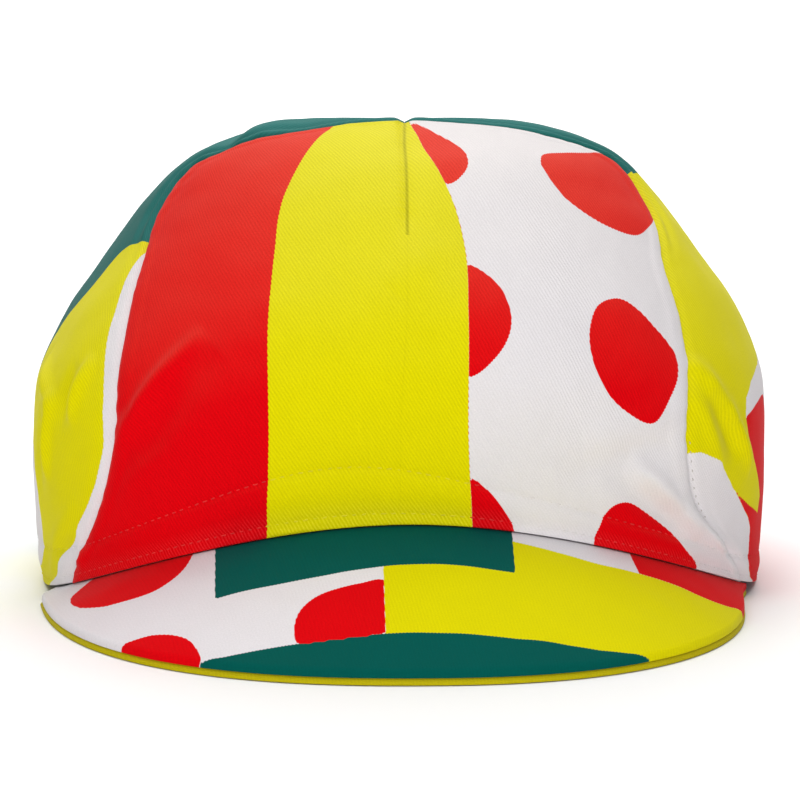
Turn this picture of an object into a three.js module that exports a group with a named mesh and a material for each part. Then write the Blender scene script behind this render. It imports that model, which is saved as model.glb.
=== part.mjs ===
import * as THREE from 'three';

// Crown sizes, in millimetres
const CROWN_HALF_WIDTH = 91.5;
const CROWN_FRONT = 97.5;
const CROWN_BACK = 98.5;
const CROWN_HEIGHT = 116;
const RIM_ARCH = 28.5;
const TOP_FORWARD = 22;
const CLOTH_THICKNESS = 1.2;
const CLEARANCE = 0.3;

// Sweatband sizes, in millimetres
const BAND_THICKNESS = 1;
const BAND_LIFT = 1.5;
const BAND_HEIGHT = 11;

// Peak sizes, in millimetres
const PEAK_REACH = 147;
const PEAK_HALF_WIDTH = 85.1;
const PEAK_CENTRE = 35;
const PEAK_SHIFT = 3;
const PEAK_SKEW = 6;
const PEAK_SQUARE = 2.4;
const PEAK_SQUARE_RIGHT = 2.25;
const PEAK_BULGE = 1.6;
const PEAK_EDGE_SWEEP = 86;
const PEAK_TOP_THICKNESS = 1.5;
const PEAK_UNDER_THICKNESS = 1.1;
const PEAK_UNDER_PROUD = 0.8;

// Between the covers and under the crown, measured upright on the sloping peak
const PEAK_CLEARANCE = 1.15 * CLEARANCE;
const PEAK_STACK = PEAK_TOP_THICKNESS + PEAK_UNDER_THICKNESS + 2 * PEAK_CLEARANCE;

// Seams and the front dart, in millimetres; where they end, as shares of the rise to the top
const SEAM_DEPTH = 1.1;
const SEAM_WIDTH = 2.6;
const SEAM_END = 0.8;
const DART_DEPTH = 1.2;
const DART_WIDTH = 2.2;
const DART_TIP = 0.52;
const DART_END = 0.9;
const DART_FADE = 0.08;

// How finely the cloth is divided
const FRONT_HALF_COLUMNS = 16;
const SIDE_COLUMNS = 28;
const CROWN_ROWS = 20;
const BAND_COLUMNS = 72;
const PEAK_COLUMNS = 36;
const PEAK_ROWS = 8;
const COLUMN_CROWDING = 0.75;

const YELLOW = 0xe1d700;
const RED = 0xe1000f;
const GREEN = 0x005850;
const WHITE = 0xe8e4e8;

const namedRows = (columns, rows) => rows.map((row) => (
  Object.fromEntries(columns.map((column, index) => [column, row[index]]))
));

// Sections of the crown, evenly spaced from the rim to the top
// side, front, back: how far the section reaches, as shares of the crown's own reach
// sideUp, frontUp, backUp: its height there, as shares of the height above the rim
// middle: how far its centre has moved towards the top point
// lean: how far its centre lies to the right, in millimetres
// square: how full its corners are, 2 for an ellipse
// seamLeft, seamRight: degrees round from the front centre to the front panel's seams
const SECTIONS = namedRows(
  ['side', 'front', 'back', 'sideUp', 'frontUp', 'backUp', 'middle', 'lean', 'square', 'seamLeft', 'seamRight'],
  [
    [0.970, 0.967, 0.988, 0.000, 0.000, 0.000, 0.00, 0.6, 2.30, 62.0, 64.5],
    [0.985, 0.993, 1.000, 0.129, 0.137, 0.129, 0.00, 0.3, 2.30, 52.5, 49.0],
    [0.996, 1.000, 0.988, 0.276, 0.291, 0.276, 0.00, 0.3, 2.30, 47.5, 45.0],
    [0.983, 0.987, 0.942, 0.431, 0.440, 0.422, 0.05, 0.8, 2.30, 48.0, 45.5],
    [0.913, 0.934, 0.863, 0.569, 0.589, 0.560, 0.12, 1.4, 2.25, 52.0, 49.0],
    [0.806, 0.821, 0.755, 0.698, 0.731, 0.681, 0.22, 1.4, 2.20, 59.0, 54.5],
    [0.691, 0.675, 0.622, 0.822, 0.846, 0.784, 0.40, 1.4, 2.10, 70.5, 67.5],
    [0.566, 0.503, 0.473, 0.921, 0.926, 0.875, 0.60, 1.3, 2.05, 75.5, 76.5],
    [0.380, 0.305, 0.315, 0.982, 0.978, 0.940, 0.80, 1.1, 2.00, 62.5, 65.0],
    [0.191, 0.146, 0.158, 0.998, 0.997, 0.982, 0.90, 1.2, 2.00, 55.5, 58.5],
    [0.000, 0.000, 0.000, 1.000, 1.000, 1.000, 1.00, 1.3, 2.00, 54.0, 57.0],
  ],
);

// Folds in the cloth: each runs from one point to another
// turn: degrees round from the front centre; rise: share of the way from the rim to the top
// width and height in millimetres, height below zero for a dent
const FOLDS = namedRows(
  ['turn', 'rise', 'endTurn', 'endRise', 'width', 'height'],
  [
    [-34.0, 0.370, -46.5, 0.200, 3.0, 1.3],
    [-30.5, 0.330, -41.0, 0.180, 3.6, -0.8],
    [-53.5, 0.380, -65.0, 0.160, 3.4, 1.2],
    [-70.5, 0.330, -68.5, 0.130, 3.4, 1.0],
    [48.5, 0.260, 52.5, 0.180, 3.2, -1.0],
    [56.5, 0.260, 65.5, 0.120, 3.4, 1.2],
    [22.0, 0.115, 43.5, 0.215, 3.8, -1.6],
    [34.5, 0.160, 57.0, 0.060, 3.4, 1.5],
    [112.0, 0.300, 128.0, 0.130, 4.5, 1.2],
    [-108.0, 0.330, -122.0, 0.110, 4.5, 1.2],
    [150.0, 0.420, 163.0, 0.160, 5.0, -1.4],
    [-146.0, 0.380, -164.0, 0.140, 5.0, 1.3],
    [170.0, 0.300, -176.0, 0.100, 4.5, 1.2],
  ],
);

const vector = (x, y, z) => new THREE.Vector3(x, y, z);
const UP = vector(0, 0, 1);
const radians = THREE.MathUtils.degToRad;
const smooth = THREE.MathUtils.smoothstep;

// A smooth curve through four neighbouring values
const through = (before, from, to, after, share) => 0.5 * (
  2 * from + (to - before) * share
  + (2 * before - 5 * from + 4 * to - after) * share ** 2
  + (3 * from - before - 3 * to + after) * share ** 3
);

const sectionAt = (rise) => {
  const last = SECTIONS.length - 1;
  const place = THREE.MathUtils.clamp(rise, 0, 1) * last;
  const index = Math.min(Math.floor(place), last - 1);
  const [from, to] = [SECTIONS[index], SECTIONS[index + 1]];
  const value = (column) => {
    const before = index > 0 ? SECTIONS[index - 1][column] : 2 * from[column] - to[column];
    const after = index + 2 <= last ? SECTIONS[index + 2][column] : 2 * to[column] - from[column];
    return through(before, from[column], to[column], after, place - index);
  };
  return Object.fromEntries(Object.keys(from).map((column) => [column, value(column)]));
};

// Distance from the middle of a squared circle to its edge, for a unit radius
const squaredRadius = (sine, cosine, square) => (
  (Math.abs(sine) ** square + Math.abs(cosine) ** square) ** (-1 / square)
);

// The smooth crown: turn in radians from the front centre, rise from 0 at the rim to 1 at the top
const crownPoint = (turn, rise) => {
  const row = sectionAt(rise);
  const [sine, cosine] = [Math.sin(turn), Math.cos(turn)];
  const radius = squaredRadius(sine, cosine, row.square);
  const middle = -TOP_FORWARD * row.middle;
  const end = cosine > 0
    ? -(TOP_FORWARD + (CROWN_FRONT - TOP_FORWARD) * Math.max(row.front, 0))
    : -TOP_FORWARD + (CROWN_BACK + TOP_FORWARD) * Math.max(row.back, 0);
  const sideHeight = CROWN_HEIGHT * row.sideUp;
  const endHeight = cosine > 0
    ? RIM_ARCH + (CROWN_HEIGHT - RIM_ARCH) * row.frontUp
    : CROWN_HEIGHT * row.backUp;
  return vector(
    CROWN_HALF_WIDTH * Math.max(row.side, 0) * radius * sine + row.lean,
    middle + (end - middle) * radius * Math.abs(cosine),
    sideHeight + (endHeight - sideHeight) * cosine ** 2,
  );
};

// Outward from the cloth; level at the rim, so that the rim's edge stays flat
const crownNormal = (turn, rise) => {
  const step = 1e-4;
  if (rise > 1 - step) {
    return UP.clone();
  }
  const round = crownPoint(turn + step, rise).sub(crownPoint(turn - step, rise));
  const climb = crownPoint(turn, rise + step).sub(crownPoint(turn, Math.max(rise - step, 0)));
  const normal = round.cross(climb);
  if (rise === 0) {
    normal.z = 0;
  }
  return normal.normalize();
};

// 1 on the line of a groove or a fold, falling smoothly to nothing beside it
const groove = (distance, width) => Math.exp(-((distance / width) ** 2));

// How far a fold lifts the cloth at a point, dying away beside the fold and at its ends
const foldHeight = (fold, point, normal) => {
  const along = fold.end.clone().sub(fold.start);
  const offset = point.clone().sub(fold.start);
  const share = THREE.MathUtils.clamp(offset.dot(along) / along.lengthSq(), 0, 1);
  const beside = offset.addScaledVector(along, -share);
  beside.addScaledVector(normal, -beside.dot(normal));
  return fold.height * Math.sin(Math.PI * share) * groove(beside.length(), Math.SQRT2 * fold.width);
};

const folds = FOLDS.map((fold) => ({
  start: crownPoint(radians(fold.turn), fold.rise),
  end: crownPoint(radians(fold.endTurn), fold.endRise),
  width: fold.width,
  height: fold.height,
}));

// The rise that lies a given height above the rim, measured near the rim at the side
const riseAt = (height) => height / CROWN_HEIGHT / (SECTIONS[1].sideUp * (SECTIONS.length - 1));

// The cloth lies smooth over the sweatband; its seams and folds begin above it
const RELIEF_START = riseAt(BAND_LIFT + BAND_HEIGHT);

// How far the cloth stands off the smooth crown: seams and dart drawn in, folds raised or sunk
const relief = (turn, rise, point, normal) => {
  const row = sectionAt(rise);
  const reach = Math.hypot(point.x - row.lean, point.y + TOP_FORWARD * row.middle);
  const backSeam = Math.PI - Math.abs(turn);
  const seams = [turn + radians(row.seamLeft), turn - radians(row.seamRight), backSeam];
  const drawnIn = seams.reduce((sum, angle) => sum + groove(angle * reach, SEAM_WIDTH), 0);
  const overBand = smooth(rise, RELIEF_START, 2 * RELIEF_START);
  const seamFade = overBand * (1 - smooth(rise, SEAM_END, 1));
  const dartFade = smooth(rise, DART_TIP, DART_TIP + DART_FADE) * (1 - smooth(rise, DART_END, 1));
  const raised = folds.reduce((sum, fold) => sum + foldHeight(fold, point, normal), 0);
  return raised * overBand
    - SEAM_DEPTH * seamFade * Math.min(drawnIn, 1)
    - DART_DEPTH * dartFade * groove(turn * reach, DART_WIDTH);
};

// A point on the cloth or under it, depth in millimetres below its outer face
const clothPoint = (turn, rise, depth) => {
  const point = crownPoint(turn, rise);
  const normal = crownNormal(turn, rise);
  return point.addScaledVector(normal, relief(turn, rise, point, normal) - depth);
};

// A closed body between two grids of points, each a list of rows from the bottom up
// A last row of one point closes the body to a tip; a ring joins the last column to the first
const bodyBetween = (outer, inner, ring = false) => {
  const rows = outer.length;
  const columns = outer[0].length;
  const outerPoints = outer.flat();
  const points = [...outerPoints, ...inner.flat()];
  const innerStart = outerPoints.length;
  const at = (start, row, column) => {
    const width = outer[row].length;
    return start + row * columns + (width === 1 ? 0 : column % width);
  };
  const faces = [];
  const addTriangle = (a, b, c) => {
    if (a !== b && b !== c && c !== a) {
      faces.push(a, b, c);
    }
  };
  const addQuad = (a, b, c, d) => {
    if (points[a].distanceTo(points[c]) <= points[b].distanceTo(points[d])) {
      addTriangle(a, b, c);
      addTriangle(a, c, d);
    } else {
      addTriangle(a, b, d);
      addTriangle(b, c, d);
    }
  };
  const spans = ring ? columns : columns - 1;
  for (let row = 0; row < rows - 1; row += 1) {
    for (let column = 0; column < spans; column += 1) {
      addQuad(
        at(0, row, column), at(0, row, column + 1),
        at(0, row + 1, column + 1), at(0, row + 1, column),
      );
      addQuad(
        at(innerStart, row, column + 1), at(innerStart, row, column),
        at(innerStart, row + 1, column), at(innerStart, row + 1, column + 1),
      );
    }
    if (!ring) {
      const last = columns - 1;
      addQuad(at(innerStart, row, 0), at(0, row, 0), at(0, row + 1, 0), at(innerStart, row + 1, 0));
      addQuad(
        at(0, row, last), at(innerStart, row, last),
        at(innerStart, row + 1, last), at(0, row + 1, last),
      );
    }
  }
  const top = rows - 1;
  for (let column = 0; column < spans; column += 1) {
    addQuad(
      at(innerStart, 0, column), at(innerStart, 0, column + 1),
      at(0, 0, column + 1), at(0, 0, column),
    );
    if (outer[top].length > 1) {
      addQuad(
        at(0, top, column), at(0, top, column + 1),
        at(innerStart, top, column + 1), at(innerStart, top, column),
      );
    }
  }
  const coordinates = points.flatMap((point) => point.toArray());
  const geometry = new THREE.BufferGeometry();
  geometry.setAttribute('position', new THREE.Float32BufferAttribute(coordinates, 3));
  geometry.setIndex(faces);
  geometry.computeVertexNormals();
  return geometry;
};

const clothMesh = (name, geometry, color) => {
  const material = new THREE.MeshStandardMaterial({ color, roughness: 0.85, metalness: 0 });
  const mesh = new THREE.Mesh(geometry, material);
  mesh.name = name;
  return mesh;
};

// Shares from 0 to 1, closer together at both ends, where the seams and the dart are
const crowdedShares = (count) => Array.from({ length: count + 1 }, (unused, index) => {
  const share = index / count;
  return THREE.MathUtils.lerp(share, 0.5 - 0.5 * Math.cos(Math.PI * share), COLUMN_CROWDING);
});

const evenShares = (count) => Array.from({ length: count + 1 }, (unused, index) => index / count);

// One row of a panel, its two ends drawn in by half the clearance between panels
const panelRow = (turns, rise, depth) => {
  const row = turns.map((turn) => clothPoint(turn, rise, depth));
  const drawIn = (edge, neighbour) => {
    const inward = neighbour.clone().sub(edge).setLength(CLEARANCE / 2);
    return edge.add(inward);
  };
  drawIn(row[0], row[1]);
  drawIn(row[row.length - 1], row[row.length - 2]);
  return row;
};

// A panel of the crown: turnsAt gives the turns of its columns at a rise, tip the way from the top
const crownPanel = (turnsAt, tip) => {
  const grid = (depth) => {
    const rows = evenShares(CROWN_ROWS).slice(0, -1).map((rise) => panelRow(turnsAt(rise), rise, depth));
    const top = crownPoint(0, 1).addScaledVector(UP, -depth);
    rows.push([top.addScaledVector(tip, CLEARANCE)]);
    return rows;
  };
  return bodyBetween(grid(0), grid(CLOTH_THICKNESS));
};

const frontTurns = (rise) => {
  const row = sectionAt(rise);
  const half = crowdedShares(FRONT_HALF_COLUMNS);
  const left = half.map((share) => radians(-row.seamLeft) * (1 - share));
  const right = half.slice(1).map((share) => radians(row.seamRight) * share);
  return [...left, ...right];
};

const leftTurns = (rise) => crowdedShares(SIDE_COLUMNS).map((share) => (
  THREE.MathUtils.lerp(-Math.PI, radians(-sectionAt(rise).seamLeft), share)
));

const rightTurns = (rise) => crowdedShares(SIDE_COLUMNS).map((share) => (
  THREE.MathUtils.lerp(radians(sectionAt(rise).seamRight), Math.PI, share)
));

const sweatband = () => {
  const turns = evenShares(BAND_COLUMNS).slice(0, -1).map((share) => 2 * Math.PI * share - Math.PI);
  const rises = evenShares(2).map((share) => riseAt(BAND_LIFT + BAND_HEIGHT * share));
  const grid = (depth) => rises.map((rise) => turns.map((turn) => clothPoint(turn, rise, depth)));
  const outerDepth = CLOTH_THICKNESS + CLEARANCE;
  return bodyBetween(grid(outerDepth), grid(outerDepth + BAND_THICKNESS), true);
};

// The peak ends where the rim has come down to the height of its two covers
const PEAK_END_TURN = Math.acos(Math.sqrt(PEAK_STACK / RIM_ARCH));

// The peak's lower face: across from -1 at the left end to 1 at the right, out from the crown to the edge
const peakPoint = (across, out) => {
  const turn = PEAK_END_TURN * across;
  const root = crownPoint(turn, 0).addScaledVector(crownNormal(turn, 0), -CLOTH_THICKNESS);
  root.z -= PEAK_STACK;
  const sweep = radians(PEAK_EDGE_SWEEP) * across;
  const [sine, cosine] = [Math.sin(sweep), Math.cos(sweep)];
  const radius = squaredRadius(sine, cosine, across > 0 ? PEAK_SQUARE_RIGHT : PEAK_SQUARE);
  const edge = vector(
    PEAK_HALF_WIDTH * radius * sine + PEAK_SHIFT - PEAK_SKEW * (1 - cosine),
    -PEAK_CENTRE - (PEAK_REACH - PEAK_CENTRE) * radius * cosine,
    0,
  );
  const point = root.clone().lerp(edge, out);
  point.z += PEAK_BULGE * Math.sin(Math.PI * out) * Math.cos(sweep) ** 2;
  return point;
};

// One of the peak's two covers: its foot above the peak's lower face, its thickness,
// and how far the other cover stands proud of its front edge
const peakCover = (foot, thickness, proud) => {
  const grid = (height) => evenShares(PEAK_ROWS).map((out) => (
    evenShares(PEAK_COLUMNS).map((share) => {
      const across = 2 * share - 1;
      const width = peakPoint(across, 1).sub(peakPoint(across, 0)).length();
      return peakPoint(across, out * (1 - proud / width)).addScaledVector(UP, height);
    })
  ));
  const [upper, lower] = [grid(foot + thickness), grid(foot)];
  return bodyBetween(upper.reverse(), lower.reverse());
};

// The whole cap: the peak points to -Y, and left is at -X, as seen from the front
const buildCap = () => {
  const cap = new THREE.Group();
  cap.name = 'cycling_cap';
  const backward = Math.SQRT1_2;
  cap.add(
    clothMesh('front_panel', crownPanel(frontTurns, vector(0, -1, 0)), YELLOW),
    clothMesh('side_panel_left', crownPanel(leftTurns, vector(-backward, backward, 0)), GREEN),
    clothMesh('side_panel_right', crownPanel(rightTurns, vector(backward, backward, 0)), RED),
    clothMesh('sweatband', sweatband(), WHITE),
    clothMesh('peak_under', peakCover(0, PEAK_UNDER_THICKNESS, 0), YELLOW),
    clothMesh(
      'peak_top',
      peakCover(PEAK_UNDER_THICKNESS + PEAK_CLEARANCE, PEAK_TOP_THICKNESS, PEAK_UNDER_PROUD),
      WHITE,
    ),
  );
  const box = new THREE.Box3().setFromObject(cap);
  const centre = box.getCenter(vector(0, 0, 0));
  cap.position.set(-centre.x, -centre.y, -box.min.z);
  return cap;
};

export default buildCap();
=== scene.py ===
"""A cotton cycling cap with a short peak, standing on its rim."""
import math

import bpy
import numpy as np
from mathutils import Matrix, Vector


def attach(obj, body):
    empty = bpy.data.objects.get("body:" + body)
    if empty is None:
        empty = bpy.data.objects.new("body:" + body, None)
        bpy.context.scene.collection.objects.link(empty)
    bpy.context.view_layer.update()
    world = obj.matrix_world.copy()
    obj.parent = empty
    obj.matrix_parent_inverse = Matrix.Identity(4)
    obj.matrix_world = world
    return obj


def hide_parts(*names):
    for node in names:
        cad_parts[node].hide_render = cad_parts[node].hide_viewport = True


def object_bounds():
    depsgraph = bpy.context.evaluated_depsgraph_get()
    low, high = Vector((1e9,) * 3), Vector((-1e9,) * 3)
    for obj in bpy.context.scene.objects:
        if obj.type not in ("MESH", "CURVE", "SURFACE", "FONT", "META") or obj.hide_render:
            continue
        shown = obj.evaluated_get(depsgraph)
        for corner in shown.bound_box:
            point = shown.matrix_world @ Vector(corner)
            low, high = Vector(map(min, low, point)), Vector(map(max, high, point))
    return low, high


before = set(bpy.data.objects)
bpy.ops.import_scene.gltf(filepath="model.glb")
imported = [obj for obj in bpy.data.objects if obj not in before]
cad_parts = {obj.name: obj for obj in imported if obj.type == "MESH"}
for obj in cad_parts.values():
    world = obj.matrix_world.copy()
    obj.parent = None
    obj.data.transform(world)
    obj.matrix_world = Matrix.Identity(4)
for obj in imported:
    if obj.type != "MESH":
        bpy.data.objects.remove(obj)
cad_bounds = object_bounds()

MM = 0.001

# Crown sizes, in millimetres
CROWN_HALF_WIDTH = 91.5
CROWN_FRONT = 97.5
CROWN_BACK = 98.5
CROWN_HEIGHT = 116.0
RIM_ARCH = 28.5
TOP_FORWARD = 22.0
CLOTH_THICKNESS = 1.2
CLEARANCE = 0.3

# Sweatband sizes, in millimetres
BAND_THICKNESS = 1.0
BAND_LIFT = 1.5
BAND_HEIGHT = 11.0

# Peak sizes, in millimetres
PEAK_REACH = 147.0
PEAK_HALF_WIDTH = 85.1
PEAK_CENTRE = 35.0
PEAK_SHIFT = 3.0
PEAK_SKEW = 6.0
PEAK_SQUARE = 2.4
PEAK_SQUARE_RIGHT = 2.25
PEAK_BULGE = 1.6
PEAK_EDGE_SWEEP = 86.0
PEAK_TOP_THICKNESS = 1.5
PEAK_UNDER_THICKNESS = 1.1
PEAK_UNDER_PROUD = 0.8
PEAK_CLEARANCE = 1.15 * CLEARANCE
PEAK_STACK = PEAK_TOP_THICKNESS + PEAK_UNDER_THICKNESS + 2 * PEAK_CLEARANCE

# The crown's own origin in the frame: the crown's widest sections lean a little to the right,
# and the peak's front edge is the frame's lowest y
CROWN_SHIFT = -0.35
ORIGIN = np.array([CROWN_SHIFT, PEAK_REACH + cad_bounds[0].y / MM, 0.0])

# The photograph's camera, round the crown's origin
CAMERA_TURN = -1.5
CAMERA_RISE = 10.0
CAMERA_DISTANCE = 1500.0
PIXELS_PER_MM = 4.0
ORIGIN_PIXEL = (397.0, 573.5)
IMAGE_CENTRE = (400.0, 400.0)
IMAGE_WIDTH = 800.0

# Meshes: how far apart the points lie, in millimetres, and how close to the edges
PITCH = 0.85
EDGE_STEPS = np.array([0.0, 0.05, 0.14, 0.27, 0.42, 0.7])
EDGE_RADIUS = 0.42
SEAM_GAP = 0.08
TOP_RISE = 0.998

# Cloth colours, with the tints of painted highlights and painted shade among them
YELLOW = (0.66, 0.60, 0.0)
RED = (0.65, 0.0, 0.003)
GREEN = (0.0, 0.083, 0.069)
WHITE = (0.70, 0.67, 0.69)
# The peak's under cover: its yellow darkened as painted shade, for its face that looks down
SHADED_UNDER_YELLOW = (0.44, 0.37, 0.004)
# Tints of the painted highlight on faces that look up: warm for bright colours, teal for dark ones
WARM_TOP_HIGHLIGHT = (0.95, 0.80, 0.46)
COOL_TOP_HIGHLIGHT = (0.24, 0.78, 0.78)
# The right seam's thread colour, darkened to paint the shade in its needle holes
SHADED_SEAM_THREAD = (0.42, 0.38, 0.36)
BAND_WHITE = (0.78, 0.77, 0.72)


def named_rows(columns, rows):
    """A table as a dict from column name to an array of its values."""
    return dict(zip(columns, np.array(rows, float).T))


# Sections of the crown, evenly spaced from the rim to the top
# side, front, back: how far the section reaches, as shares of the crown's own reach
# side_up, front_up, back_up: its height there, as shares of the height above the rim
# middle: how far its centre has moved towards the top point
# lean: how far its centre lies to the right, in millimetres
# square: how full its corners are, 2 for an ellipse
# seam_left, seam_right: degrees round from the front centre to the front panel's seams
SECTION_COLUMNS = (
    "side", "front", "back", "side_up", "front_up", "back_up", "middle", "lean", "square", "seam_left",
    "seam_right",
)
SECTIONS = np.array([
    [0.970, 0.967, 0.988, 0.000, 0.000, 0.000, 0.00, 0.6, 2.30, 62.0, 64.5],
    [0.985, 0.993, 1.000, 0.129, 0.137, 0.129, 0.00, 0.3, 2.30, 52.5, 49.0],
    [0.996, 1.000, 0.988, 0.276, 0.291, 0.276, 0.00, 0.3, 2.30, 47.5, 45.0],
    [0.983, 0.987, 0.942, 0.431, 0.440, 0.422, 0.05, 0.8, 2.30, 48.0, 45.5],
    [0.913, 0.934, 0.863, 0.569, 0.589, 0.560, 0.12, 1.4, 2.25, 52.0, 49.0],
    [0.806, 0.821, 0.755, 0.698, 0.731, 0.681, 0.22, 1.4, 2.20, 59.0, 54.5],
    [0.691, 0.675, 0.622, 0.822, 0.846, 0.784, 0.40, 1.4, 2.10, 70.5, 67.5],
    [0.566, 0.503, 0.473, 0.921, 0.926, 0.875, 0.60, 1.3, 2.05, 75.5, 76.5],
    [0.380, 0.305, 0.315, 0.982, 0.978, 0.940, 0.80, 1.1, 2.00, 62.5, 65.0],
    [0.191, 0.146, 0.158, 0.998, 0.997, 0.982, 0.90, 1.2, 2.00, 55.5, 58.5],
    [0.000, 0.000, 0.000, 1.000, 1.000, 1.000, 1.00, 1.3, 2.00, 54.0, 57.0],
])

# Folds in the crown's cloth, each from one point to another
# turn: degrees round from the front centre; rise: share of the way from the rim to the top
# width and height in millimetres, height below zero for a dent
FOLDS = named_rows(
    ("turn", "rise", "end_turn", "end_rise", "width", "height"),
    [
        [-33.5, 0.375, -46.5, 0.195, 1.7, 2.1],
        [-30, 0.34, -41.5, 0.175, 3, -1.3],
        [-36, 0.19, -47, 0.12, 2, 0.6],
        [-55.5, 0.35, -59, 0.25, 1.7, 1.8],
        [-60, 0.34, -62.5, 0.24, 2.4, -1.3],
        [-80, 0.345, -64.5, 0.27, 1.8, 1.9],
        [-66, 0.3, -67.5, 0.17, 1.8, 1.9],
        [-73, 0.28, -71, 0.14, 3, -0.9],
        [-57, 0.13, -72, 0.03, 2, 0.8],
        [-60, 0.07, -80, 0.02, 1.8, -0.7],
        [46, 0.345, 56.5, 0.245, 1.8, 1.8],
        [54, 0.275, 63.5, 0.18, 1.8, 1.9],
        [50, 0.29, 58, 0.19, 2, -1.4],
        [46, 0.29, 53.5, 0.17, 1.6, 1.1],
        [22, 0.115, 43.5, 0.215, 3.2, -1.5],
        [26, 0.175, 45, 0.26, 3.4, 0.9],
        [34, 0.165, 48.5, 0.065, 1.8, 1.8],
        [44, 0.095, 56, 0.04, 1.8, 1.6],
        [30, 0.135, 46, 0.055, 2.2, -1.2],
        [39, 0.095, 45.5, 0.08, 1.8, -0.5],
        [49.5, 0.07, 66, 0.034, 1.8, 0.8],
        [-66, 0.715, -108, 0.765, 2.4, -1.1],
        [-66, 0.775, -112, 0.8, 4, 0.7],
        [-57, 0.826, -102, 0.862, 4.5, -0.8],
        [-36, 0.845, -68, 0.79, 5, -1],
        [2.5, 0.48, -3, 0.42, 3, 0.5],
        [112, 0.3, 128, 0.13, 3.5, 1.2],
        [-108, 0.33, -122, 0.11, 3.5, 1.2],
        [150, 0.42, 163, 0.16, 4, -1.4],
        [-146, 0.38, -164, 0.14, 4, 1.3],
        [170, 0.3, -176, 0.1, 3.5, 1.2],
    ],
)

# Seams, dart and hem, in millimetres
SEAM_SHOULDER = 0.35
SEAM_ALLOWANCE = 7.0
PUCKER_DEPTH = 0.16
PUCKER_LENGTH = 5.5
PUCKER_REACH = 4.0
DART_TIP = 0.52
DART_LEAN = 1.1
DART_STITCH_LENGTH = 2.4
DART_STITCH_OFFSET = 1.5
RIPPLE_LENGTH = 4.2
HEM_STITCH_HEIGHT = 2.8
RIM_DROOP = 0.25
RIM_DROOP_REACH = 3.0
BAND_STITCH_HEIGHT = 14.6

# Soft ridges in the cloth, and dips with a height below zero: width and height in millimetres
SEAM_LINE, SEAM_HOLLOW = (1.6, -0.9), (5.12, -0.5)
ROLL, ROLL_DIP = (1.8, 0.45), (2.2, -0.95)
ROLL_PLACE, ROLL_DIP_PLACE = 3.0, 7.0
HEM_ROLL, HEM_DRAW = (3.8, 0.40), (0.7, -0.25)
BAND_DRAW, BAND_RIPPLE = (0.9, -0.30), (2.2, -0.10)
DART_LINE, DART_HOLLOW = (1.3, -0.7), (5.0, -0.35)
DART_STITCH, DART_BUMP = (1.0, -0.14), (5.5, 0.75)
GATHER = (9.0, 0.6)

# The middle stripe on the front panel, as it is seen in the photograph's view, in millimetres there
# up: height above the crown's origin; left and right: the stripe's edges
FRONT_STRIPE = named_rows(
    ("up", "left", "right"),
    [[5.4, -32.6, 19.2], [32.2, -32.2, 18], [64.4, -32.2, 17.9], [81.4, -30.6, 17.1],
     [89.5, -29.6, 15.4], [95.5, -27.8, 13.2], [101.3, -25.1, 10.1], [105.9, -22, 7.3],
     [111.1, -17.1, 4.6], [114.6, -11.4, 2.1], [116.8, -8.3, 1]],
)

# Outlines of the front panel's red dots in the same view, each a smooth ring through its points
OUTLINE_COLUMNS = ("across", "up")
FRONT_DOTS = [named_rows(OUTLINE_COLUMNS, rows) for rows in (
    [[3.6, 112.7], [10.8, 109.8], [16.2, 106.4], [17.8, 102.7], [16.2, 99.5], [12.4, 97.5], [6, 100],
     [1.5, 107]],
    [[36, 103.6], [37.6, 105.3], [45.4, 105.5], [54.1, 104.4], [60.8, 98.4], [64.4, 90.5],
     [62.5, 86.2], [58.8, 84.4], [50.8, 87.5], [42.7, 93.6], [37.2, 100.6]],
    [[17, 77.6], [24.6, 73], [28.2, 66.6], [28.3, 60.3], [24.8, 54.1], [18, 49], [8, 50.5],
     [1.5, 63.4], [8, 76.5]],
    [[53.8, 68.5], [49.7, 66.4], [48.2, 60.1], [49.4, 52.5], [53.2, 44.6], [58.6, 39.5], [63.2, 37.5],
     [66.2, 40.3], [70, 48.7], [69, 55.8], [63, 62.8], [58, 67.2]],
    [[49.2, 6.7], [50.4, 11.6], [53.6, 16.4], [58.1, 17.6], [63, 14.8], [69, 10], [72.2, 5.6],
     [75, 1.5], [72, -6], [60, -8], [49.5, -2]],
    [[17, 23.5], [22.4, 21], [26.3, 16.5], [29.4, 10.5], [29, 4], [22, -2], [13, 2],
     [10, 14]],
)]

# The left panel's white strip along the front seam: height, and how far back it reaches; and its white dot:
# distance back, height and radius, as for the right panel's second red dot
LEFT_STRIP = named_rows(
    ("height", "back"),
    [[0, -24], [2.3, -27.4], [6.9, -38.3], [11.4, -42.1], [17.9, -53], [21.3, -54.8], [26, -58.8],
     [31.7, -62.6], [37.5, -65.1], [42, -66.5], [49.2, -65.9], [56.5, -64.2], [62.4, -61.1],
     [68.3, -56.9], [73, -53.4], [77.6, -49], [82.2, -44.6], [87.1, -41.7], [92, -40.5]],
)
LEFT_DOT = (-13.0, 20.5, 15.5)

# Where green meets yellow on the side panels: height, and distance back from the crown's middle
LEFT_GREEN = named_rows(
    ("height", "back"),
    [[0, 36], [25, 24], [45, 10], [57, -2], [64.9, -11.2], [69.2, -17.5], [73.1, -21.3],
     [77.8, -23.9], [82, -25.5], [85.4, -28.1], [88, -34.6], [89.4, -40], [90.2, -46]],
)
RIGHT_GREEN = named_rows(
    ("height", "back"),
    [[0, 72], [30, 66], [55, 54], [75, 36], [90, 12], [98, -5], [101, -12],
     [102.6, -17.5], [103.2, -21], [104, -34], [108, -60]],
)

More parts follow.
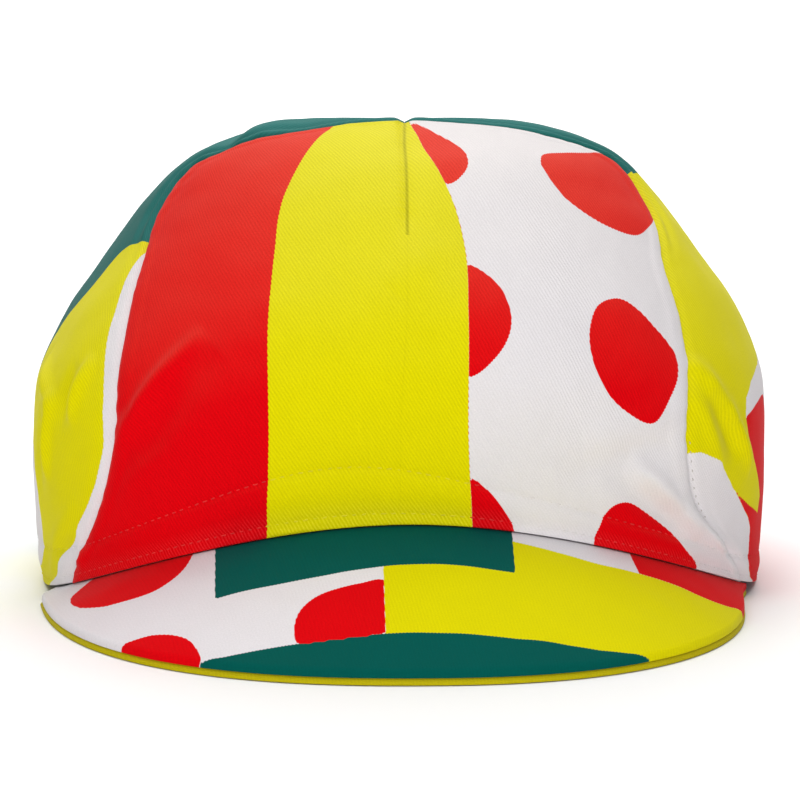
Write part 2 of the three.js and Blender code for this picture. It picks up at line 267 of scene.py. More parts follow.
# The right panel's print: the low white patch, the red behind it and the long yellow tip between,
# each the height of an upper edge over the distance back; then the white band and its red dots
RIGHT_WHITE = named_rows(
    ("back", "height"),
    [[-80, 41.2], [-68.6, 41], [-62.3, 37.9], [-59, 34.4], [-55.5, 30.5], [-50, 25.9], [-43.5, 21],
     [-41, 18], [-40.6, 13], [-40, 8], [-33.7, 4.3], [-27, 2], [-20, -3]],
)
RIGHT_RED = named_rows(
    ("back", "height"),
    [[-70, 36], [-60, 32.5], [-57, 31.2], [-55.5, 30.5], [-50.8, 27.4], [-43.1, 23.9], [-33.1, 20.4],
     [-31.5, 24], [-30, 30], [60, 30]],
)
RIGHT_BAND_LOW, RIGHT_BAND_TOP = 26.0, 57.2
RIGHT_BAND_EDGE = named_rows(
    ("height", "back"),
    [[24, -31], [36, -42.5], [41, -46.6], [46.5, -48.2], [51.1, -47.6], [54.4, -41], [56.4, -26.6],
     [57.2, -10]],
)
RIGHT_SECOND_DOT = (24.5, 35.8, 15.5)
RIGHT_FIRST_DOT = named_rows(
    ("back", "height"),
    [[-50, 45.5], [-47.9, 46.5], [-39.4, 48.2], [-30, 49], [-25.3, 48.7], [-19, 46], [-15, 41],
     [-13.5, 33], [-13, 20]],
)

# The peak's print, in plan: x across, y from the crown's middle, in millimetres
BAR_LEFT, BAR_RIGHT = -45.0, 24.5
BAR_EDGE = named_rows(("x", "y"), [[-45, -109.4], [-25, -111.6], [-7, -111.3], [24, -110.2]])
PEAK_DIVISION = -6.1
PEAK_YELLOW_EDGE = named_rows(
    ("x", "y"),
    [[20, -96.4], [36, -96.2], [45, -95], [54.6, -90.6], [59.6, -88.5], [64.4, -86.3], [69.4, -84.2],
     [73.2, -81.5], [77.2, -76.5], [79.1, -73.6], [81, -73], [84, -73]],
)
PEAK_RED_FROM = 54.6
PEAK_RED_SLANT = 0.16
CRESCENT_EDGE = named_rows(
    ("x", "y"),
    [[-60, -136], [-51, -134], [-49.2, -131.3], [-46.5, -132.2], [-43, -133.1], [-38, -133.7],
     [-27, -134.3], [-14, -134.5], [0, -134.5], [13, -134.4], [24, -134.3], [36, -133.1], [43, -132],
     [49, -130], [52.3, -128.5], [55, -127], [57.3, -125.8], [58.4, -130], [70, -134]],
)
PEAK_DOTS = [named_rows(OUTLINE_COLUMNS, rows) for rows in (
    [[-5, -117.2], [-11.5, -116.7], [-19.6, -118.2], [-24.3, -121.7], [-26.6, -126.8], [-26.4, -133.6],
     [-22, -142], [-12, -146], [-2, -143], [2, -131]],
    [[-68, -112.6], [-61.3, -113.3], [-56.5, -116.3], [-53, -119.8], [-50.6, -123.4],
     [-48.8, -128.4], [-48.8, -133], [-55, -142], [-66, -140], [-72, -130], [-71, -118]],
    [[-79.6, -64], [-79.2, -71], [-76.8, -78.5], [-72.2, -85.2], [-68.6, -88.2], [-62.7, -91.6],
     [-58, -92.2], [-53.3, -88.8], [-50.2, -81.1], [-50, -72], [-56, -60], [-66, -53],
     [-74.8, -55.9], [-78.2, -60]],
)]


def smooth_step(value, start, end):
    share = np.clip((value - start) / (end - start), 0, 1)
    return share * share * (3 - 2 * share)


def unit(vectors):
    return vectors / np.maximum(np.linalg.norm(vectors, axis=-1, keepdims=True), 1e-9)


def curve(value, table, place, height):
    """A smooth curve through a table's rows, its height over its place, level past its ends."""
    places, heights = table[place], table[height]
    slopes = np.gradient(heights, places)
    value = np.clip(value, places[0], places[-1])
    index = np.clip(np.searchsorted(places, value, side="right") - 1, 0, len(places) - 2)
    width = places[index + 1] - places[index]
    share = (value - places[index]) / width
    rest = 1 - share
    return (
        heights[index] * (1 + 2 * share) * rest ** 2 + heights[index + 1] * (1 + 2 * rest) * share ** 2
        + width * share * rest * (slopes[index] * rest - slopes[index + 1] * share)
    )


def straight(value, table, place, height):
    """The same by straight lines."""
    return np.interp(value, table[place], table[height])


def catmull_rom(before, start, end, after, share):
    """A share of the way from start to end, on a smooth curve that the points beside them shape."""
    return 0.5 * (
        2 * start + (end - before) * share
        + (2 * before - 5 * start + 4 * end - after) * share ** 2
        + (3 * start - before - 3 * end + after) * share ** 3
    )


def wander(points, scale, seed):
    """A smooth field between about -1 and 1 that changes over the given distance."""
    rng = np.random.default_rng(seed)
    total = np.zeros(points.shape[:-1])
    count = 14
    for way in unit(rng.normal(size=(count, 3))):
        wave = way * rng.uniform(0.6, 1.4) * 2 * math.pi / scale
        total += np.sin(points @ wave + rng.uniform(0, 2 * math.pi))
    return total / math.sqrt(count)


# The crown's surface

def section_at(rise):
    """The table's columns at a rise, by a smooth curve through its rows."""
    last = len(SECTIONS) - 1
    place = np.clip(rise, 0, 1) * last
    index = np.minimum(place.astype(int), last - 1)
    share = (place - index)[..., None]
    start, end = SECTIONS[index], SECTIONS[index + 1]
    before = np.where((index == 0)[..., None], 2 * start - end, SECTIONS[np.maximum(index - 1, 0)])
    after = np.where((index + 2 > last)[..., None], 2 * end - start, SECTIONS[np.minimum(index + 2, last)])
    row = catmull_rom(before, start, end, after, share)
    return dict(zip(SECTION_COLUMNS, np.moveaxis(row, -1, 0)))


def squared_radius(sine, cosine, square):
    return (np.abs(sine) ** square + np.abs(cosine) ** square) ** (-1 / square)


def crown_point(turn, rise):
    """The smooth crown: turn in radians from the front centre, rise from 0 at the rim to 1 at the top."""
    turn, rise = np.broadcast_arrays(np.asarray(turn, float), np.asarray(rise, float))
    row = section_at(rise)
    sine, cosine = np.sin(turn), np.cos(turn)
    ahead = cosine > 0
    radius = squared_radius(sine, cosine, row["square"])
    middle = -TOP_FORWARD * row["middle"]
    front = -(TOP_FORWARD + (CROWN_FRONT - TOP_FORWARD) * np.maximum(row["front"], 0))
    back = -TOP_FORWARD + (CROWN_BACK + TOP_FORWARD) * np.maximum(row["back"], 0)
    side_height = CROWN_HEIGHT * row["side_up"]
    front_height = RIM_ARCH + (CROWN_HEIGHT - RIM_ARCH) * row["front_up"]
    end_height = np.where(ahead, front_height, CROWN_HEIGHT * row["back_up"])
    return np.stack([
        CROWN_HALF_WIDTH * np.maximum(row["side"], 0) * radius * sine + row["lean"],
        middle + (np.where(ahead, front, back) - middle) * radius * np.abs(cosine),
        side_height + (end_height - side_height) * cosine ** 2,
    ], -1)


def crown_normal(turn, rise):
    """Outward from the cloth; level at the rim, so that the rim's edge stays flat."""
    step = 1e-4
    turn, rise = np.broadcast_arrays(np.asarray(turn, float), np.asarray(rise, float))
    across = crown_point(turn + step, rise) - crown_point(turn - step, rise)
    climb = crown_point(turn, np.minimum(rise + step, 1)) - crown_point(turn, np.maximum(rise - step, 0))
    normal = np.cross(across, climb)
    normal[..., 2] *= smooth_step(rise, 0, 0.01)
    return unit(normal)


def rise_at(height):
    """The rise that lies a given height above the rim, measured near the rim at the side."""
    return height / CROWN_HEIGHT / (SECTIONS[1][SECTION_COLUMNS.index("side_up")] * (len(SECTIONS) - 1))


def fold_height(points, normals):
    """How far all the folds together lift the cloth."""
    starts = crown_point(np.radians(FOLDS["turn"]), FOLDS["rise"])
    ends = crown_point(np.radians(FOLDS["end_turn"]), FOLDS["end_rise"])
    total = np.zeros(points.shape[:-1])
    for start, end, width, height in zip(starts, ends, FOLDS["width"], FOLDS["height"]):
        along = end - start
        offset = points - start
        share = np.clip(offset @ along / (along @ along), 0, 1)
        beside = offset - share[..., None] * along
        beside -= (beside * normals).sum(-1, keepdims=True) * normals
        swell = np.sin(math.pi * share) ** 0.75
        total += height * swell * np.exp(-(beside ** 2).sum(-1) / (2 * width ** 2))
    return total


class Panel:
    """A panel of the crown as a grid of points, rows from the rim up and columns from left to right.

    left_turn and right_turn give the turns of its two seams at a rise, in radians.
    """

    def __init__(self, left_turn, right_turn):
        fine = np.linspace(0, 1, 361)
        height = CROWN_HEIGHT * 1.45
        uniform = np.linspace(rise_at(EDGE_STEPS[-1]), TOP_RISE, int(height / PITCH))
        rises = np.concatenate([rise_at(EDGE_STEPS[:-1]), uniform])
        left, right = left_turn(rises)[:, None], right_turn(rises)[:, None]
        turns = left + (right - left) * fine
        lengths = np.linalg.norm(np.diff(crown_point(turns, rises[:, None]), axis=1), axis=-1)
        reached = np.concatenate([np.zeros((len(rises), 1)), lengths.cumsum(1)], 1)
        total = reached[:, -1:]
        columns = int(total.max() / PITCH)
        edge = EDGE_STEPS / np.maximum(total, 6 * EDGE_STEPS[-1])
        middle = edge[:, -1:] + (1 - 2 * edge[:, -1:]) * np.linspace(0, 1, columns)[1:-1]
        shares = np.concatenate([edge, middle, 1 - edge[:, ::-1]], 1)
        places = shares * total
        self.turn = np.array([np.interp(p, r, t) for p, r, t in zip(places, reached, turns)])
        self.rise = np.repeat(rises[:, None], self.turn.shape[1], 1)
        self.point = crown_point(self.turn, self.rise)
        self.normal = crown_normal(self.turn, self.rise)
        self.from_left, self.from_right = places, total - places
        centre = np.array([np.interp(0.0, t, r) for t, r in zip(turns, reached)])
        self.across = places - centre[:, None]
        steps = np.linalg.norm(np.diff(self.point, axis=0), axis=-1)
        self.up = np.concatenate([np.zeros((1, steps.shape[1])), steps.cumsum(0)])


def soft_ridge(distance, shape):
    """Height at a distance from a ridge's line, or from a dip's."""
    width, height = shape
    return height * np.exp(-((distance / width) ** 2))


def seam_relief(panel, distance, shoulder):
    """A seam draws the cloth in, puckers it, and lifts it over its allowance."""
    fade = 1 - 0.6 * smooth_step(panel.rise, 0.12, 0.02)
    pucker = np.sin(2 * math.pi * panel.up / PUCKER_LENGTH + 2.5 * wander(panel.point, 30, 5))
    pucker *= PUCKER_DEPTH * np.exp(-distance / PUCKER_REACH) * (0.5 + 0.5 * wander(panel.point, 22, 6))
    raised = shoulder * (1 - smooth_step(distance, SEAM_ALLOWANCE - 2, SEAM_ALLOWANCE + 1))
    near_top = 1 - smooth_step(panel.rise, 0.9, 1)
    sunk = soft_ridge(distance, SEAM_HOLLOW)
    return (raised + pucker + sunk) * near_top + fade * soft_ridge(distance, SEAM_LINE)


def top_roll(panel, distance):
    """High up, a side panel rolls over the seam's allowance and dips behind it."""
    high = smooth_step(panel.rise, 0.48, 0.62) * (1 - smooth_step(panel.rise, 0.93, 1))
    roll = soft_ridge(distance - ROLL_PLACE, ROLL)
    return high * (roll + soft_ridge(distance - ROLL_DIP_PLACE, ROLL_DIP))


def hem_relief(panel):
    """The rim's two rows of stitches draw the cloth in, with a soft roll between them."""
    above_band, above_hem = panel.up - BAND_STITCH_HEIGHT, panel.up - HEM_STITCH_HEIGHT
    ripple = np.sin(2 * math.pi * panel.across / RIPPLE_LENGTH + 3 * wander(panel.point, 26, 9))
    return (
        soft_ridge(0.5 * (above_band + above_hem), HEM_ROLL) + soft_ridge(above_hem, HEM_DRAW)
        + soft_ridge(above_band, BAND_DRAW) + (0.5 + 0.5 * ripple) * soft_ridge(above_band, BAND_RIPPLE)
    )


def cloth_relief(panel):
    """What every panel has: folds, its hem and the soft unevenness of cotton."""
    loose = smooth_step(panel.rise, 0.02, 0.2)
    uneven = sum(
        height * wander(panel.point, scale, seed)
        for height, scale, seed in ((0.30, 48, 1), (0.12, 19, 2), (0.035, 7, 3)))
    top = 1 - 0.8 * smooth_step(panel.rise, 0.85, 1)
    from_top = np.linalg.norm(panel.point - crown_point(0.0, 1.0), axis=-1)
    gather = soft_ridge(from_top, GATHER)
    folds = fold_height(panel.point, panel.normal) + uneven * (0.35 + 0.65 * loose)
    return folds * top + gather + hem_relief(panel)


def from_dart(panel):
    """Distance across the cloth from the dart's line, which leans a little towards its tip."""
    return panel.across + DART_LEAN * (1 - panel.rise) / (1 - DART_TIP)


def dart_relief(panel):
    """The short dart that runs from the top down the front, with the little bump below its tip."""
    sewn = smooth_step(panel.rise, DART_TIP, DART_TIP + 0.05)
    beside = from_dart(panel)
    line = soft_ridge(beside, DART_LINE) + soft_ridge(beside, DART_HOLLOW)
    beat = np.sin(2 * math.pi * panel.up / DART_STITCH_LENGTH)
    line += soft_ridge(beside + DART_STITCH_OFFSET, DART_STITCH) * beat
    bump = crown_point(math.radians(1.0), DART_TIP - 0.035)
    from_bump = np.linalg.norm(panel.point - bump, axis=-1)
    return soft_ridge(from_bump, DART_BUMP) + sewn * line


def rolled(distance):
    """How far a cut edge falls away below the cloth's face, near the edge."""
    inside = np.clip(EDGE_RADIUS - distance, 0, EDGE_RADIUS)
    return EDGE_RADIUS - np.sqrt(EDGE_RADIUS ** 2 - inside ** 2)


def shell_faces(rows, columns, ring=False):
    """Faces of a closed shell: an outer grid, an inner grid and the walls between their edges."""
    outer = np.arange(rows * columns).reshape(rows, columns)
    if ring:
        outer = np.concatenate([outer, outer[:, :1]], 1)
    inner = outer + rows * columns

    def quads(a, b, c, d):
        return np.stack([a, b, c, d], -1).reshape(-1, 4)

    walls = [
        quads(outer[0, 1:], outer[0, :-1], inner[0, :-1], inner[0, 1:]),
        quads(outer[-1, :-1], outer[-1, 1:], inner[-1, 1:], inner[-1, :-1]),
    ]
    if not ring:
        walls += [
            quads(outer[:-1, 0], outer[1:, 0], inner[1:, 0], inner[:-1, 0]),
            quads(outer[1:, -1], outer[:-1, -1], inner[:-1, -1], inner[1:, -1]),
        ]
    face = quads(outer[:-1, :-1], outer[:-1, 1:], outer[1:, 1:], outer[1:, :-1])
    back = quads(inner[:-1, 1:], inner[:-1, :-1], inner[1:, :-1], inner[1:, 1:])
    return face, back, np.concatenate(walls)


def make_piece(name, points, faces, materials, node=None, fields=None, backs=0):
    """A mesh object in the frame from points in millimetres; its last faces, backs of them, take the second
    material. fields is a dict of named values, one a point, that its material reads."""
    mesh = bpy.data.meshes.new(name)
    mesh.from_pydata(((points.reshape(-1, 3) + ORIGIN) * MM).tolist(), [], faces.tolist())
    for label, values in (fields or {}).items():
        values = np.asarray(values, np.float32)
        kind, key = ("FLOAT", "value") if values.ndim == 1 else ("FLOAT_VECTOR", "vector")
        mesh.attributes.new(label, kind, "POINT").data.foreach_set(key, values.ravel())
    for material in materials:
        mesh.materials.append(material)
    mesh.polygons.foreach_set("use_smooth", [True] * len(faces))
    if backs:
        mesh.polygons.foreach_set("material_index", [0] * (len(faces) - backs) + [1] * backs)
    mesh.update()
    piece = bpy.data.objects.new(name, mesh)
    bpy.context.scene.collection.objects.link(piece)
    if node:
        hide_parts(node)
    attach(piece, "root")
    return piece


# Print fields: signed distances in millimetres, above zero inside a colour's shape

def camera_axes():
    """Right, up and back of the photograph's view, as rows."""
    turn, rise = math.radians(CAMERA_TURN), math.radians(CAMERA_RISE)
    back = np.array([math.sin(turn) * math.cos(rise), -math.cos(turn) * math.cos(rise), math.sin(rise)])
    right = np.array([math.cos(turn), math.sin(turn), 0.0])
    return right, np.cross(back, right), back


def seen(points):
    """Where points lie across and up in the photograph's view, measured in its plane through the origin."""
    right, up, back = camera_axes()
    nearer = CAMERA_DISTANCE / (CAMERA_DISTANCE - points @ back)
    return points @ right * nearer, points @ up * nearer


def ring_field(across, up, outline, steps=8):
    """How far inside a smooth closed outline each place lies, below zero outside."""
    corners = np.stack(list(outline.values()), -1)
    before, after, beyond = (np.roll(corners, shift, 0) for shift in (1, -1, -2))
    share = (np.arange(steps) / steps)[:, None, None]
    ring = catmull_rom(before, corners, after, beyond, share).transpose(1, 0, 2).reshape(-1, 2)
    nearest = np.full(across.shape, np.inf)
    inside = np.zeros(across.shape, bool)
    for (x, y), (next_x, next_y) in zip(ring, np.roll(ring, -1, 0)):
        dx, dy = next_x - x, next_y - y
        along = np.clip(((across - x) * dx + (up - y) * dy) / (dx * dx + dy * dy), 0, 1)
        nearest = np.minimum(nearest, np.hypot(across - x - along * dx, up - y - along * dy))
        crossed = (y > up) != (next_y > up)
        if dy:
            inside ^= crossed & (across < x + (up - y) * dx / dy)
    return np.where(inside, nearest, -nearest)


def front_print(points):
    across, height = seen(points)
    left_edge = curve(height, FRONT_STRIPE, "up", "left")
    right_edge = curve(height, FRONT_STRIPE, "up", "right")
    white = across - right_edge
    dots = np.maximum.reduce([ring_field(across, height, outline) for outline in FRONT_DOTS])
    return {
        "print_yellow": np.minimum(across - left_edge, right_edge - across),
        "print_white": white,
        "print_green": np.full(across.shape, -50.0),
        "print_red": np.minimum(dots, white),
    }


def left_print(points):
    back, height = points[..., 1], points[..., 2]
    yellow = curve(height, LEFT_GREEN, "height", "back") - back
    strip = curve(height, LEFT_STRIP, "height", "back") - back
    dot_back, dot_height, dot_radius = LEFT_DOT
    dot = dot_radius - np.hypot(back - dot_back, height - dot_height)
    nothing = np.full(back.shape, -50.0)
    return {
        "print_yellow": yellow * 0.75,
        "print_white": np.maximum(strip, dot),
        "print_green": nothing,
        "print_red": nothing,
    }


def right_print(points):
    back, height = points[..., 1], points[..., 2]
    green = back - curve(height, RIGHT_GREEN, "height", "back")
    patch = straight(back, RIGHT_WHITE, "back", "height") - height
    edge = back - straight(height, RIGHT_BAND_EDGE, "height", "back")
    band = np.minimum.reduce([height - RIGHT_BAND_LOW, edge, RIGHT_BAND_TOP - height])
    red = straight(back, RIGHT_RED, "back", "height") - height
    first_dot = straight(back, RIGHT_FIRST_DOT, "back", "height") - height
    dot_back, dot_height, dot_radius = RIGHT_SECOND_DOT
    dots = np.maximum(first_dot, dot_radius - np.hypot(back - dot_back, height - dot_height))
    return {
        "print_yellow": np.full(back.shape, 50.0),
        "print_white": np.maximum(patch * 0.75, band),
        "print_green": green * 0.75,
        "print_red": np.minimum(
            np.maximum(np.minimum(red * 0.8, -patch * 0.75), np.minimum(dots, edge)), -green * 0.75),
    }


def peak_print(points):
    x, y = points[..., 0], points[..., 1]
    bar = np.minimum.reduce([x - BAR_LEFT, BAR_RIGHT - x, y - curve(x, BAR_EDGE, "x", "y")])
    crescent = straight(x, CRESCENT_EDGE, "x", "y") - y
    behind = y - curve(x, PEAK_YELLOW_EDGE, "x", "y")
    yellow = np.minimum(x - PEAK_DIVISION, -behind)
    wedge = np.minimum(behind, x - PEAK_RED_FROM + PEAK_RED_SLANT * behind)
    dots = np.maximum.reduce([ring_field(x, y, outline) for outline in PEAK_DOTS])
    red = np.maximum(wedge, np.minimum(dots, PEAK_DIVISION - x))
    return {
        "print_yellow": yellow,
        "print_white": np.full(x.shape, -50.0),
        "print_green": np.maximum(bar, crescent * 0.95),
        "print_red": np.where(crescent > 0, np.minimum(red, -crescent), red),
    }


# Materials

class Nodes:
    """Adds shader nodes to a material and joins them."""

    def __init__(self, name):
        self.material = bpy.data.materials.new(name)
        self.material.use_nodes = True
        self.tree = self.material.node_tree
        self.shader = self.tree.nodes["Principled BSDF"]

    def add(self, kind, inputs=(), **settings):
        node = self.tree.nodes.new(kind)
        for key, value in settings.items():
            setattr(node, key, value)
        for key, value in dict(inputs).items():
            if isinstance(value, bpy.types.NodeSocket):
                self.tree.links.new(value, node.inputs[key])
            else:
                node.inputs[key].default_value = value
        return node.outputs[0]

    def math(self, operation, first, second=0.0):
        return self.add("ShaderNodeMath", {0: first, 1: second}, operation=operation)

    def plus(self, first, second):
        return self.math("ADD", first, second)

    def minus(self, first, second):
        return self.math("SUBTRACT", first, second)

    def times(self, first, second):
        return self.math("MULTIPLY", first, second)

    def ramp(self, value, start, end):
        """From 0 at the start of a range to 1 at its end."""
        inputs = {"Value": value, "From Min": start, "From Max": end}
        return self.add("ShaderNodeMapRange", inputs, clamp=True)

    def noise(self, place, scale, detail, roughness=0.5):
        inputs = {"Vector": place, "Scale": scale, "Detail": detail, "Roughness": roughness}
        return self.add("ShaderNodeTexNoise", inputs)

    def taken_apart(self, kind, value):
        return self.add(kind, {0: value}).node.outputs

    def attribute(self, name, output="Fac"):
        node = self.tree.nodes.new("ShaderNodeAttribute")
        node.attribute_name = name
        return node.outputs[output]

    def mix(self, share, first, second):
        node = self.tree.nodes.new("ShaderNodeMix")
        node.data_type = "RGBA"
        for key, value in (("Factor", share), ("A", first), ("B", second)):
            socket = next(s for s in node.inputs if s.name == key and (key == "Factor" or s.type == "RGBA"))
            if isinstance(value, bpy.types.NodeSocket):
                self.tree.links.new(value, socket)
            else:
                socket.default_value = value if key == "Factor" else (*value, 1.0)
        return next(s for s in node.outputs if s.type == "RGBA")

    def link(self, output, socket):
        self.tree.links.new(output, self.shader.inputs[socket])


TWILL_PITCH = 0.8
TWILL_LEAN = 58.0
PEAK_LEAN = 80.0


def twill(nodes, lean):
    """Ridges of the twill from 0 to 1, and a finer break of the yarns along them."""
    weave = nodes.attribute("weave", "Vector")
    across, climb, _ = nodes.taken_apart("ShaderNodeSeparateXYZ", weave)
    wobble = nodes.noise(weave, 0.35, 2.0)
    a, b = math.sin(math.radians(lean)), math.cos(math.radians(lean))
    over = nodes.plus(nodes.times(across, a), nodes.times(climb, b))
    phase = nodes.plus(nodes.times(over, 2 * math.pi / TWILL_PITCH), nodes.times(wobble, 4.0))
    patchy = nodes.noise(weave, 0.9, 2.0)
    swing = nodes.minus(nodes.times(patchy, 1.3), 0.15)
    ridge = nodes.plus(nodes.times(nodes.math("SINE", phase), swing), 0.5)
    yarn = nodes.noise(weave, 2.6, 3.0, 0.6)
    return ridge, yarn


def cloth_material(name, base, layers=(), fade=0.0, lighten=0.0, lean=TWILL_LEAN, relief=1.0, top_highlight=1.0,
                   creased=False, hemmed=False):
    """Printed cotton twill. layers are (field, colour) laid over the base. fade pales the print, as on
    the cloth's inner face, and lighten is for thread. relief is how strongly the twill shows, and
    top_highlight how much faces that look up are paled, a painted highlight. creased adds the dart's fine
    sewn line as painted shade and a dent, and hemmed the stretched ribs beside the hem's lower stitches."""
    nodes = Nodes(name)
    ridge, yarn = twill(nodes, lean)
    colour = nodes.mix(0.0, base, base)
    serration = nodes.times(nodes.minus(ridge, 0.5), 0.13)
    for field, layer in layers:
        inside = nodes.plus(nodes.attribute(field), serration)
        colour = nodes.mix(nodes.ramp(inside, -0.06, 0.06), colour, layer)
    colour = nodes.mix(fade, colour, WHITE)
    colour = nodes.mix(lighten, colour, (1.0, 0.95, 0.9))
    place = nodes.add("ShaderNodeTexCoord").node.outputs["Object"]
    cloudy = nodes.noise(place, 60.0, 3.0)
    normal = nodes.add("ShaderNodeNewGeometry").node.outputs["Normal"]
    upward = nodes.taken_apart("ShaderNodeSeparateXYZ", normal)[2]
    red, green, blue = nodes.taken_apart("ShaderNodeSeparateColor", colour)
    paleness = nodes.math("MINIMUM", nodes.math("MINIMUM", red, green), blue)
    brightness = nodes.math("MAXIMUM", red, green)
    darkness = nodes.math("MAXIMUM", nodes.minus(0.5, brightness), 0.0)
    # Painted highlight: faces that look up are paled towards a warm tint, and dark colours towards teal
    lit = nodes.ramp(upward, -0.05, 0.95)
    lit = nodes.times(nodes.times(lit, lit), 0.09 * top_highlight)
    warm_highlight_share = nodes.times(nodes.times(lit, brightness), nodes.plus(yarn, 0.5))
    colour = nodes.mix(warm_highlight_share, colour, WARM_TOP_HIGHLIGHT)
    colour = nodes.mix(nodes.times(nodes.times(lit, darkness), 3.2), colour, COOL_TOP_HIGHLIGHT)
    depth = nodes.minus(0.13, nodes.times(paleness, 0.14))
    depth = nodes.times(depth, relief)
    shade = nodes.times(nodes.minus(ridge, 0.5), depth)
    shade = nodes.plus(shade, nodes.times(yarn, 0.28))
    shade = nodes.plus(shade, nodes.times(cloudy, 0.08))
    shade = nodes.plus(shade, 0.82)
    height = nodes.plus(nodes.times(ridge, 0.7 * relief), nodes.times(yarn, 0.5))
    if hemmed:
        low = nodes.ramp(nodes.attribute("above_rim"), 7.5, 3.5)
        rib = nodes.times(low, nodes.minus(ridge, 0.35))
        shade = nodes.plus(shade, nodes.times(nodes.times(rib, depth), 0.4))
        paler = nodes.times(nodes.times(rib, yarn), 0.05)
        colour = nodes.mix(paler, colour, WHITE)
    if creased:
        # Painted shade along the dart's sewn line, a groove too fine for the mesh, and a dent in the bump
        sewn = nodes.ramp(nodes.math("ABSOLUTE", nodes.attribute("crease")), 0.55, 0.1)
        shade = nodes.minus(shade, nodes.times(sewn, 0.34))
        height = nodes.minus(height, nodes.times(sewn, 2.5))
    tinted = nodes.add("ShaderNodeVectorMath", {0: colour, "Scale": shade}, operation="SCALE")
    nodes.link(tinted, "Base Color")
    roughness = nodes.plus(nodes.times(yarn, 0.12), 0.80)
    nodes.link(roughness, "Roughness")
    bump = nodes.add("ShaderNodeBump", {"Strength": 0.5, "Distance": 0.00009, "Height": height})
    nodes.link(bump, "Normal")
    nodes.shader.inputs["Specular IOR Level"].default_value = 0.04
    nodes.shader.inputs["Sheen Weight"].default_value = 0.05
    nodes.shader.inputs["Sheen Roughness"].default_value = 0.3
    return nodes.material


PRINT_LAYERS = (
    ("print_yellow", YELLOW), ("print_white", WHITE), ("print_green", GREEN), ("print_red", RED),
)


def printed_pair(name, base, creased=False):
    """The face and the paler back of one printed cloth."""
    return (
        cloth_material(name, base, PRINT_LAYERS, creased=creased, hemmed=True),
        cloth_material(name + "_back", base, PRINT_LAYERS, fade=0.6, lean=-TWILL_LEAN),
    )


# Pieces

def twill_place(panel, upright):
    """Where the twill lies on a panel; upright draws it in towards the top, as on a shaped front."""
    climb = (1 - upright) * panel.up + upright * seen(panel.point)[1]
    return np.stack([panel.across, climb, np.zeros_like(panel.up)], -1).reshape(-1, 3)


def panel_piece(name, panel, relief, fields, materials, droop=0.0, upright=0.0):
    """A panel's cloth as a closed shell with soft edges. droop is how far its rim hangs down."""
    points, normals = panel.point.copy(), panel.normal
    inward = 0.5 * SEAM_GAP
    for near, far in ((0, 1), (-1, -2)):
        points[:, near] += unit(points[:, far] - points[:, near]) * inward
    edge = np.minimum(np.minimum(panel.from_left, panel.from_right), panel.up)
    fall = rolled(edge)
    points[..., 2] -= droop * np.clip(1 - panel.up / RIM_DROOP_REACH, 0, 1)
    outer = points + normals * (relief - fall)[..., None]
    inner = points + normals * (relief - CLOTH_THICKNESS + fall)[..., None]
    rows, columns = relief.shape
    face, back, walls = shell_faces(rows, columns)
    values = {key: np.tile(value.ravel(), 2) for key, value in fields.items()}
    values["weave"] = np.tile(twill_place(panel, upright), (2, 1))
    values["above_rim"] = np.tile(panel.up.ravel(), 2)
    return make_piece(
        name, np.stack([outer, inner]), np.concatenate([face, walls, back]), materials,
        node=name, fields=values, backs=len(back),
    )


def front_panel():
    panel = Panel(
        lambda rise: -np.radians(section_at(rise)["seam_left"]),
        lambda rise: np.radians(section_at(rise)["seam_right"]),
    )
    relief = cloth_relief(panel) + dart_relief(panel)
    for distance in (panel.from_left, panel.from_right):
        relief += seam_relief(panel, distance, SEAM_SHOULDER)
    fields = front_print(panel.point)
    crease = {"crease": from_dart(panel) * np.where(panel.rise < DART_TIP, 40.0, 1.0)}
    cloth = printed_pair("front_cloth", RED, creased=True)
    panel_piece(
        "front_panel", panel, relief, fields | crease, cloth, droop=RIM_DROOP, upright=0.7)
    return panel, relief, fields


def side_panel(side):
    """A side panel: side is -1 for the left and 1 for the right, as seen from the front."""
    if side < 0:
        panel = Panel(
            lambda rise: np.full(rise.shape, -math.pi),
            lambda rise: -np.radians(section_at(rise)["seam_left"]),
        )
        from_front, from_back = panel.from_right, panel.from_left
        name, base, fields = "left", GREEN, left_print(panel.point)
    else:
        panel = Panel(
            lambda rise: np.radians(section_at(rise)["seam_right"]),
            lambda rise: np.full(rise.shape, math.pi),
        )
        from_front, from_back = panel.from_left, panel.from_right
        name, base, fields = "right", YELLOW, right_print(panel.point)
    relief = cloth_relief(panel) + seam_relief(panel, from_front, -0.15)
    relief += seam_relief(panel, from_back, 0.2) + top_roll(panel, from_front)
    panel_piece(
        f"side_panel_{name}", panel, relief, fields, printed_pair(f"{name}_cloth", base))
    return panel, relief, fields


